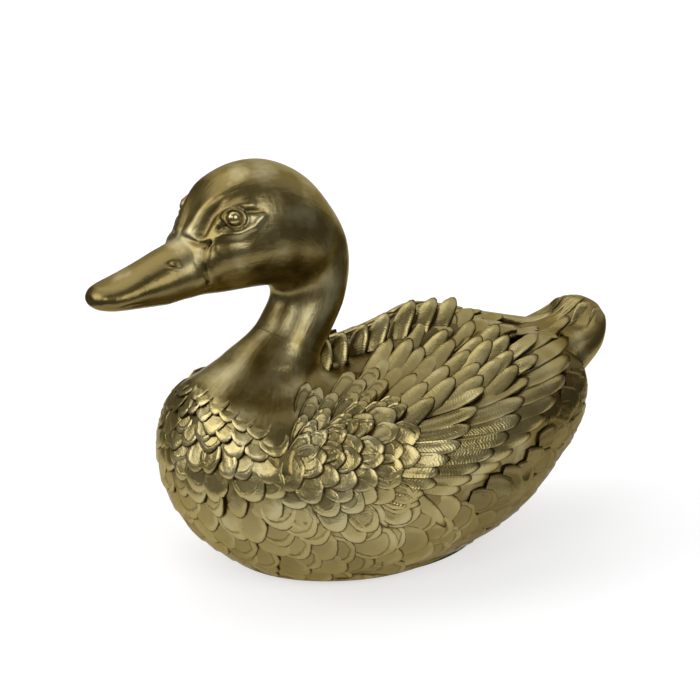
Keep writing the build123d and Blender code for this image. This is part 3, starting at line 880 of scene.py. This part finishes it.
# One brass in two copies: darker on the skin and lighter on the feathers, as painted shade and light
SKIN_TONE = (0.226, 0.171, 0.056, 1)
FEATHER_TONE = (0.39, 0.316, 0.125, 1)
EDGE_TONE = (0.60, 0.50, 0.28, 1)
# Pale rubbed brass, also a painted sheen where the painted shade is lightest
WORN_AND_SHEEN_BRASS = (0.48, 0.42, 0.23, 1)
# Dark brown of patina, also the colour of the painted shade
WASH_AND_SHADE = (0.060, 0.039, 0.010, 1)


def antique_brass(name, brass, feathered):
    """Cast brass under lacquer, rubbed bright where it stands proud, with brown patina and painted shade in
    the recesses.
    """
    material, shader, tone = finish_material(name)
    place = tone.make("ShaderNodeTexCoord", output=3)
    cloud = tone.make("ShaderNodeTexNoise", {"Vector": place, "Scale": 55.0, "Detail": 3.0})
    grain = tone.make("ShaderNodeTexNoise", {"Vector": place, "Scale": 2400.0, "Detail": 2.0})
    hammered = tone.make("ShaderNodeTexNoise", {"Vector": place, "Scale": 420.0, "Detail": 2.0})
    occlusion_shade = tone.make("ShaderNodeAmbientOcclusion", {"Distance": 0.0028}, 1, samples=8)
    shader.inputs["Metallic"].default_value = 1.0
    shader.inputs["Specular Tint"].default_value = EDGE_TONE
    shader.inputs["Coat Weight"].default_value = 0.25
    shader.inputs["Coat Roughness"].default_value = 0.22
    if feathered:
        barb = tone.make("ShaderNodeAttribute", output=1, attribute_name="barb")
        wear_and_shade = tone.make("ShaderNodeAttribute", output=2, attribute_name="wear_and_shade")
        trim = tone.make("ShaderNodeAttribute", output=1, attribute_name="trim")
        along, across, own = (tone.make("ShaderNodeSeparateXYZ", {0: barb}, k) for k in range(3))
        edge, band, strength = (tone.make("ShaderNodeSeparateXYZ", {0: trim}, k) for k in range(3))
        wander = tone.make("ShaderNodeTexNoise", {"Vector": place, "Scale": 260.0, "Detail": 1.0})
        comb = ((along - across.size() * 1.1 + wander * 1.2) * 4.2).sine() * strength
        # Chased line a little inside each feather's edge, cut in by bump only and painted darker as its
        # shade
        groove = (edge - 0.34 + wander * 0.10).size().within(0.05, 0.0) * band
        # Painted shade: the walls and outermost edge of each feather are darkened
        rim = edge.within(0.07, 0.0)
        height = comb * 0.14 + grain * 0.10 + hammered * 0.5 - groove * 0.7
        # Lighter where the feathers are rubbed, darker where their mark paints shade
        rubbed = wear_and_shade * 0.6 + own * 0.16 + cloud * 0.4 - 0.05 + comb * 0.08
        shade = (rubbed - groove * 0.35 - rim).within(0, 0.8)
    else:
        stroke = tone.make("ShaderNodeAttribute", output=1, attribute_name="stroke")
        brushed = tone.make(
            "ShaderNodeTexNoise", {"Vector": stroke, "Scale": 1.0, "Detail": 3.0, "Roughness": 0.6}
        )
        tone_and_painted_shade = tone.make("ShaderNodeAttribute", output=2, attribute_name="tone_and_painted_shade")
        height = brushed * 0.45 + grain * 0.12 + hammered * 0.35
        # The skin's tone, with painted shade from its mark in the hollows, under the feathers and towards
        # the stern
        shade = (cloud * 0.5 + brushed * 0.2 + tone_and_painted_shade + 0.075).within(0, 0.75)
    # Patina and painted shade: the colour darkens to brown where the surface is closed in by its neighbours
    shade = shade * occlusion_shade.within(0.3, 0.85, 0.08, 1.0)
    colour = shade.blend(WASH_AND_SHADE, brass)
    # Pale brass where the colour is lightest: rubbed brass and a painted sheen
    colour = (shade * cloud).within(0.4, 0.75).blend(colour, WORN_AND_SHEEN_BRASS)
    rough = cloud * 0.2 + grain * 0.08 + 0.18
    bump = tone.make("ShaderNodeBump", {"Height": height, "Strength": 0.55, "Distance": 0.0006})
    feed(tone, shader, Base_Color=colour, Roughness=rough, Normal=bump)
    return material


def felt_cloth():
    """Pressed felt."""
    material, shader, tone = finish_material("felt")
    place = tone.make("ShaderNodeTexCoord", output=3)
    fibre = tone.make("ShaderNodeTexNoise", {"Vector": place, "Scale": 1800.0, "Detail": 4.0})
    feed(
        tone, shader,
        Base_Color=fibre.blend((0.012, 0.018, 0.012, 1), (0.05, 0.065, 0.05, 1)),
        Normal=tone.make("ShaderNodeBump", {"Height": fibre, "Strength": 0.8, "Distance": 0.0004}),
    )
    shader.inputs["Roughness"].default_value = 0.95
    return material


def turned_metal(name, light, dark, rough):
    """Plain rolled or turned metal with fine marks."""
    material, shader, tone = finish_material(name)
    place = tone.make("ShaderNodeTexCoord", output=3)
    along = (150.0, 2600.0, 150.0)  # how fine the marks are each way
    stretched = tone.make("ShaderNodeVectorMath", {0: place, 1: along}, operation="MULTIPLY")
    marks = tone.make("ShaderNodeTexNoise", {"Vector": stretched, "Scale": 1.0, "Detail": 3.0})
    shader.inputs["Metallic"].default_value = 1.0
    feed(
        tone, shader,
        Base_Color=marks.blend(dark, light),
        Roughness=marks * 0.2 + rough,
        Normal=tone.make("ShaderNodeBump", {"Height": marks, "Strength": 0.3, "Distance": 0.0002}),
    )
    return material


SKIN_BRASS = antique_brass("antique_brass_skin", SKIN_TONE, False)
FEATHER_BRASS = antique_brass("antique_brass_feathers", FEATHER_TONE, True)
PLATE_BRASS = turned_metal("rolled_brass", (0.60, 0.50, 0.27, 1), (0.45, 0.37, 0.19, 1), 0.25)
SCREW_STEEL = turned_metal("screw_steel", (0.62, 0.62, 0.60, 1), (0.42, 0.42, 0.41, 1), 0.25)
BEAD_BRASS = turned_metal("polished_brass", (0.46, 0.39, 0.19, 1), (0.36, 0.29, 0.13, 1), 0.14)
FELT = felt_cloth()

# Line through the head and neck that the fine strokes follow, as places along the bird and heights
SPINE = np.array([
    (-95, 152), (-78, 160), (-58, 162), (-40, 156), (-29, 142),
    (-28, 128), (-33, 115), (-41, 104), (-49, 92), (-56, 78),
], float)
SPINE_RUN = np.concatenate([[0], np.cumsum(np.linalg.norm(np.diff(SPINE, axis=0), axis=1))])
STROKE_REACH = 9.0


def strokes(places):
    """Coordinates along and around the neck, stretched so that noise read with them makes fine strokes."""
    fine = np.linspace(0, SPINE_RUN[-1], 160)
    line = np.stack([np.interp(fine, SPINE_RUN, SPINE[:, k]) for k in range(2)], 1)
    run = unit(np.gradient(line, axis=0))
    gap = np.linalg.norm(places[:, None, 1:] - line[None], axis=2)
    weight = np.exp(-((gap / STROKE_REACH) ** 2 - (gap.min(1, keepdims=True) / STROKE_REACH) ** 2))
    weight /= weight.sum(1, keepdims=True)
    far = weight @ fine
    here, ahead = weight @ line, unit(weight @ run)
    rel = places[:, 1:] - here
    over = rel[:, 0] * -ahead[:, 1] + rel[:, 1] * ahead[:, 0]
    turn = np.arctan2(over, places[:, 0])
    return np.stack([np.cos(turn) * 15, np.sin(turn) * 15, far * 0.13], 1)


def beside(places, path, width, start=1.0, fall=0.0):
    """Weight that is 1 along a path on either side of the bird and fades with distance from it.

    From the share of the path that start gives, it also falls off along the path.
    """
    near = folded(places)
    path = np.array(path, float)
    weight = np.zeros(len(places))
    for number, (a, b) in enumerate(zip(path, path[1:])):
        share = np.clip(((near - a) @ (b - a)) / ((b - a) @ (b - a)), 0, 1)
        gap = np.linalg.norm(near - a - share[:, None] * (b - a), axis=1)
        fade = 1 - np.clip((number + share) / (len(path) - 1) - start, 0, 1) * fall
        weight = np.maximum(weight, fade * np.exp(-((gap / width) ** 2)))
    return weight


# Neck, head and bill
THROAT_LINE = [
    (0, -46, 127.5), (6, -44.5, 127.3), (10, -41.5, 127.5),
    (13, -38, 128.7), (15.3, -33, 132), (15, -25, 137),
]
EYE = np.array([22.0, -77.1, 165.8])
EYE_SLANT = math.radians(19.6)
EYE_STRETCH = 1.22
BILL_FRONT = -134.4  # furthest forward and highest that the head may reach
CROWN_TOP = 186.0
# Places in metres for softening the bill and cutting the neck
BILL_SEAM = -0.089
BILL_UNDERSIDE = 0.126
BILL_TIP = -0.128
CUT_BELOW = 0.122
CUT_ABOVE = 0.0945
# Lines modelled on the left of the head: height, painted shade, width, where and how fast they fade, and
# path
HEAD_LINES = [
    # Brow
    (0.9, 0.0, 3.8, 0.35, 1.4, [
        (4, -90.5, 158.6), (6.6, -87, 164.6), (8.3, -84, 169.7), (12.1, -78.6, 174.4), (13.8, -70, 178),
    ]),
    # Hollow between the brow and the eye
    (-2.2, 0.2, 3.0, 0.35, 1.5, [
        (12, -88.5, 160), (12.9, -84.5, 166.2), (15, -80, 171.2), (17.1, -74.3, 174.3), (18, -66, 176),
    ]),
    # Upper lid
    (0.5, 0.0, 1.7, 1.0, 0.0, [(18.5, -83, 164.5), (19.5, -79, 169.5), (21, -74, 171.5), (22.5, -69, 171)]),
    # Corners of the eye
    (-0.7, 0.35, 1.3, 1.0, 0.0, [(19.5, -83.5, 161.5), (20.5, -81.5, 163.2)]),
    (-0.7, 0.35, 1.3, 1.0, 0.0, [(23, -71.5, 168.6), (24.2, -65, 167.6)]),
    # Ledge under the eye and the hollow below it
    (0.9, 0.0, 1.6, 0.6, 1.6, [
        (24.9, -65.5, 166.3), (25.2, -69.5, 162.6), (23.8, -76.4, 159.8), (20.8, -82.4, 159.6),
        (18.4, -86.6, 157.6),
    ]),
    (-0.6, 0.0, 2.4, 1.0, 0.0, [(20, -85.5, 154.5), (23, -80, 156), (25, -74, 156.6)]),
    # Groove round the root of the bill, over it and down its side, and the edge behind it
    (-1.3, 0.4, 1.2, 1.0, 0.0, [(0, -93, 158.6), (4, -92.6, 157), (12.8, -91, 155.6), (17.6, -88, 156)]),
    (-1.0, 0.4, 1.0, 1.0, 0.0, [
        (17.7, -88.0, 156), (17.8, -90, 153), (18.6, -91.2, 147.8), (18.6, -90.2, 143.5),
        (16.5, -86.8, 138),
    ]),
    (0.7, 0.0, 1.7, 1.0, 0.0, [
        (18, -86.4, 155), (18.6, -87.6, 152), (19.4, -88.4, 147.8), (19.4, -87.2, 143.5), (17, -84, 139),
    ]),
    # Ridge of the bill
    (0.5, 0.0, 4.0, 1.0, 0.0, [(0, -94, 157.5), (0, -108, 152), (0, -122, 145)]),
    # Mouth
    (-0.7, 0.4, 0.8, 1.0, 0.0, [
        (8, -130, 133), (12, -121, 133), (13, -104, 133.2), (14.6, -91, 135), (16.5, -84, 137),
    ]),
    # Crease behind the cheek
    (-0.5, 0.2, 4.0, 1.0, 0.0, [(14, -49, 136), (20, -46, 142), (25, -45.5, 152), (25.5, -46, 158)]),
]
# Swells and hollows of the head: height, painted shade, place and reach
HEAD_SPOTS = [
    (-0.2, 0.0, (0, -89, 166), (11, 8, 9)),  # forehead
    (-1.6, 0.0, (18, -87.5, 160), (5, 5.5, 7)),  # temple
    (1.2, 0.0, (0, -70, 129), (16, 15, 6)),  # chin
    (1.4, 0.0, (25, -69, 148), (20, 13, 9)),  # cheek
    (-1.2, 0.2, (11.3, -100.6, 147.3), (2.6, 2.0, 0.9)),  # nostril
    (0.6, 0.0, (12.2, -100.8, 145.6), (2.6, 2.2, 0.8)),  # lip of the nostril
    (0.3, 0.0, (0, -132, 138), (6, 4, 4)),  # nail of the bill
    (-0.9, 0.0, (0, -62, 112), (14, 10, 16)),  # front of the neck
]

wax = run_together([neck_form, head_form], 1.6, 1)
for width, rounds in [(11, 15), (8.5, 25), (6, 40)]:
    near = beside(np.array([vert.co / MM for vert in wax.verts]), THROAT_LINE, width) > 0.35
    soften(wax, [vert for vert, chosen in zip(wax.verts, near) if chosen], rounds)
bm = run_together([kept(wax, "wax"), bill_form], 0.6, 6)
for width, rounds in [(0.014, 8), (0.011, 12), (0.008, 24)]:
    upper = [vert for vert in bm.verts if vert.co.z > BILL_UNDERSIDE]
    soften(bm, [vert for vert in upper if abs(vert.co.y - BILL_SEAM) < width], rounds)
soften(bm, [vert for vert in bm.verts if vert.co.y < BILL_TIP], 20)
cut_off(bm, JOINT, -JOINT_UP, high=CUT_BELOW)
head_mesh = kept(bm, "neck_and_head")
places, normals = points_of(head_mesh)
# Heights that shape the head, and painted shade for its grooves, hollows and creases
move, dark = np.zeros(len(places)), np.zeros(len(places))
for height, painted_shade, width, start, fall, path in HEAD_LINES:
    form = beside(places, path, width, start, fall)
    move += height * form
    dark += painted_shade * form
for height, painted_shade, centre, reach in HEAD_SPOTS:
    form = about(places, centre, reach)
    move += height * form
    dark += painted_shade * form

# Lids round the bead of the eye, with painted shade in the groove round them
back, over = places[:, 1] - EYE[1], places[:, 2] - EYE[2]
along_lid = back * math.cos(EYE_SLANT) + over * math.sin(EYE_SLANT)
across_lid = over * math.cos(EYE_SLANT) - back * math.sin(EYE_SLANT)
ring = np.hypot(along_lid / EYE_STRETCH, across_lid)
outer = (np.abs(places[:, 0]) > 14) & (places[:, 2] > 150)
lid_groove = np.exp(-(((ring - 4.4) / 0.6) ** 2)) * outer
move += 0.6 * np.exp(-(((ring - 3.3) / 0.55) ** 2)) * outer
move -= 0.4 * lid_groove
move -= 0.45 * np.clip((2.8 - ring) / 0.5, 0, 1) * outer
dark += 0.15 * lid_groove

# Fuller bill and nape
bill = np.clip((-93 - places[:, 1]) / 8, 0, 1)
nape = np.clip(normals @ (0, 0.95, 0.2), 0, 1) * np.clip((places[:, 1] + 62) / 25, 0, 1)
nape *= np.interp(places[:, 2], [108, 120, 138, 158], [0, 1, 1, 0.35])
move += 0.6 * bill * np.clip((places[:, 1] + 133) / 8, 0, 1) + 1.6 * nape
places = places + normals * move[:, None] - bill[:, None] * (0, 0, 0.4)
places[:, 1] = np.maximum(places[:, 1], BILL_FRONT)
places[:, 2] = np.minimum(places[:, 2], CROWN_TOP)
place_points(head_mesh, places)
mark(head_mesh, "stroke", strokes(places) * (1 - 0.8 * bill[:, None]))
# Painted shade: the head darker in its grooves and hollows and over the bill
mark(head_mesh, "tone_and_painted_shade", 0.22 - dark - 0.10 * bill)

# Body
bm = run_together([body_form, neck_form], 1.4, 5)
soften(bm, neck_fillet(bm), 45)
cut_off(bm, JOINT, JOINT_UP, low=CUT_ABOVE)
cut_off(bm, Vector((0, 0, FOOT)), Vector((0, 0, -1)))
body_mesh = kept(bm, "body_shell")
places, normals = points_of(body_mesh)
behind_wing = np.clip((places[:, 1] - 20) / 30, 0, 1)[:, None]
mark(body_mesh, "stroke", strokes(places) * (1 - behind_wing) + places * (0.8, 0.22, 0.8) * behind_wing)
SUNK = 1.8  # how much deeper the body lies where scales and wings cover it
under_tail = np.interp(places[:, 2], [60, 66], [1, 0])
covered = np.clip(below_neck(places) / 8, 0, 1)
covered *= np.maximum(np.clip((108 - places[:, 1]) / 10, 0, 1), under_tail)
under_wing = np.clip(behind_neck(places) / 4, 0, 1) * (np.abs(places[:, 0]) > 8) * (places[:, 1] < 15)
covered = np.maximum(covered, under_wing * np.clip((97 - places[:, 2]) / 6, 0, 1))
grown = (fullness(places) - SUNK * covered) * (places[:, 2] > 2.5)
place_points(body_mesh, places + normals * grown[:, None])
# Painted shade: the body darker where scales and wings cover it and towards the stern
stern = np.clip((places[:, 1] - 40) / 50, 0, 1)
mark(body_mesh, "tone_and_painted_shade", 0.3 - 0.56 * np.maximum(0.3 * covered, stern))


def joined(name, node, *parts):
    """One piece from several meshes and their materials, standing for a CAD node."""
    objects = [piece(name, mesh, material) for mesh, material in parts]
    if len(objects) > 1:
        chosen = {"active_object": objects[0], "object": objects[0], "selected_editable_objects": objects}
        with bpy.context.temp_override(**chosen):
            bpy.ops.object.join()
    made = objects[0]
    made.name = name
    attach(made, "root")
    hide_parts(node)


def bare(form, name, tone_and_painted_shade=-0.1):
    """Copy of a form with the marks of plain skin, painted dark all over as shade under the feathers unless
    another level is given.
    """
    mesh = form.copy()
    mesh.name = name
    places, _ = points_of(mesh)
    mark(mesh, "stroke", places * 0.9)
    mark(mesh, "tone_and_painted_shade", np.full(len(places), tone_and_painted_shade))
    return mesh


joined("neck_and_head_casting", "neck_and_head", (head_mesh, SKIN_BRASS))
joined("body_casting", "body_shell", (body_mesh, SKIN_BRASS), (breast.mesh("scales"), FEATHER_BRASS))
joined(
    "left_wing_casting", "left_wing",
    (bare(wing_core, "lobe"), SKIN_BRASS),
    (bare(mantle_form, "mantle"), SKIN_BRASS),
    (wing.mesh("plumes"), FEATHER_BRASS),
    (raised.mesh("raised"), FEATHER_BRASS),
)
joined(
    "right_wing_casting", "right_wing",
    (bare(far_wing_core, "lobe"), SKIN_BRASS),
    (bare(far_mantle_form, "mantle"), SKIN_BRASS),
    (wing.mesh("plumes", mirrored=True), FEATHER_BRASS),
    (far_raised.mesh("raised", mirrored=True), FEATHER_BRASS),
)
tail_mesh = bare(tail_form, "tail", 0.12)
places, normals = points_of(tail_mesh)
swell = fullness(places) + 0.8 * about(places, (14, 130, 80), (20, 10, 12))
place_points(tail_mesh, places + normals * swell[:, None])
joined("tail_casting", "tail_fan", (tail_mesh, SKIN_BRASS), (tail.mesh("tail_plumes"), FEATHER_BRASS))

for node, material in [
    ("left_eye", BEAD_BRASS),
    ("right_eye", BEAD_BRASS),
    ("base_plate", PLATE_BRASS),
    ("base_screws", SCREW_STEEL),
    ("felt_sheet", FELT),
]:
    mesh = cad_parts[node].data
    mesh.materials.clear()
    mesh.materials.append(material)

# Table, which widens away from the camera and shows white, in metres
TABLE_HALF_WIDTH = 0.21
TABLE_HALF_LENGTH = 3.1
TABLE_PLACE = (0, 2.85, -0.0003)
TABLE_WIDENING = 7
bm = bmesh.new()
bmesh.ops.create_grid(bm, x_segments=1, y_segments=1, size=1)
bmesh.ops.scale(bm, verts=bm.verts, vec=(TABLE_HALF_WIDTH, TABLE_HALF_LENGTH, 1))
bmesh.ops.translate(bm, verts=bm.verts, vec=TABLE_PLACE)
bmesh.ops.scale(bm, verts=[vert for vert in bm.verts if vert.co.y > 1], vec=(TABLE_WIDENING, 1, 1))
bmesh.ops.rotate(bm, verts=bm.verts, matrix=Matrix.Rotation(math.radians(VIEW_SIDE), 3, "Z"))
table, paint, tone = finish_material("table_top")
paint.inputs["Base Color"].default_value = (0.46, 0.46, 0.46, 1)
paint.inputs["Roughness"].default_value = 0.9
straight, mirrored, passed = (tone.make("ShaderNodeLightPath", output=k) for k in (0, 3, 6))
paint.inputs["Emission Strength"].default_value = 0.62
shown = (straight + mirrored + passed).within(0, 1)
feed(tone, paint, Emission_Color=shown.blend((0, 0, 0, 1), (1, 1, 1, 1)))
floor = piece("table", kept(bm, "table"), table)
floor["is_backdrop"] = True

world = bpy.context.scene.world or bpy.data.worlds.new("studio")
bpy.context.scene.world = world
world.use_nodes = True
world.node_tree.nodes["Background"].inputs["Color"].default_value = (0.17, 0.17, 0.175, 1)


def toward(azimuth, elevation):
    """Direction from the ornament to that side of it: 0 is before the bill and 90 on the bird's left."""
    az, el = math.radians(azimuth), math.radians(elevation)
    return Vector((math.sin(az) * math.cos(el), -math.cos(az) * math.cos(el), math.sin(el)))


def lamp(name, azimuth, elevation, power, spread):
    """Soft distant lamp from that side of the ornament."""
    data = bpy.data.lights.new(name, "SUN")
    data.energy = power
    data.angle = math.radians(spread)
    made = bpy.data.objects.new(name, data)
    bpy.context.scene.collection.objects.link(made)
    made.rotation_euler = toward(azimuth, elevation).to_track_quat("Z", "Y").to_euler()


lamp("sky", -60, 60, 0.8, 55)
lamp("back", -140, 42, 1.05, 90)
lamp("key", -25, 28, 1.05, 36)
lamp("front", 20, 30, 0.4, 18)
lamp("side", 88, 30, 1.1, 42)

look = toward(VIEW_SIDE, VIEW_RISE)
lens = bpy.data.cameras.new("camera")
lens.lens = 85.0
lens.sensor_width = 36.0
camera = bpy.data.objects.new("camera", lens)
bpy.context.scene.collection.objects.link(camera)
camera.location = Vector(AIM) * MM + look * (LENS_DISTANCE * MM)
camera.rotation_euler = look.to_track_quat("Z", "Y").to_euler()
bpy.context.scene.camera = camera
bpy.context.scene.view_settings.view_transform = "Standard"

boxes = {"cad": cad_box, "visual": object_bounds()}
{name: [list(map(float, corner)) for corner in box] for name, box in boxes.items()}
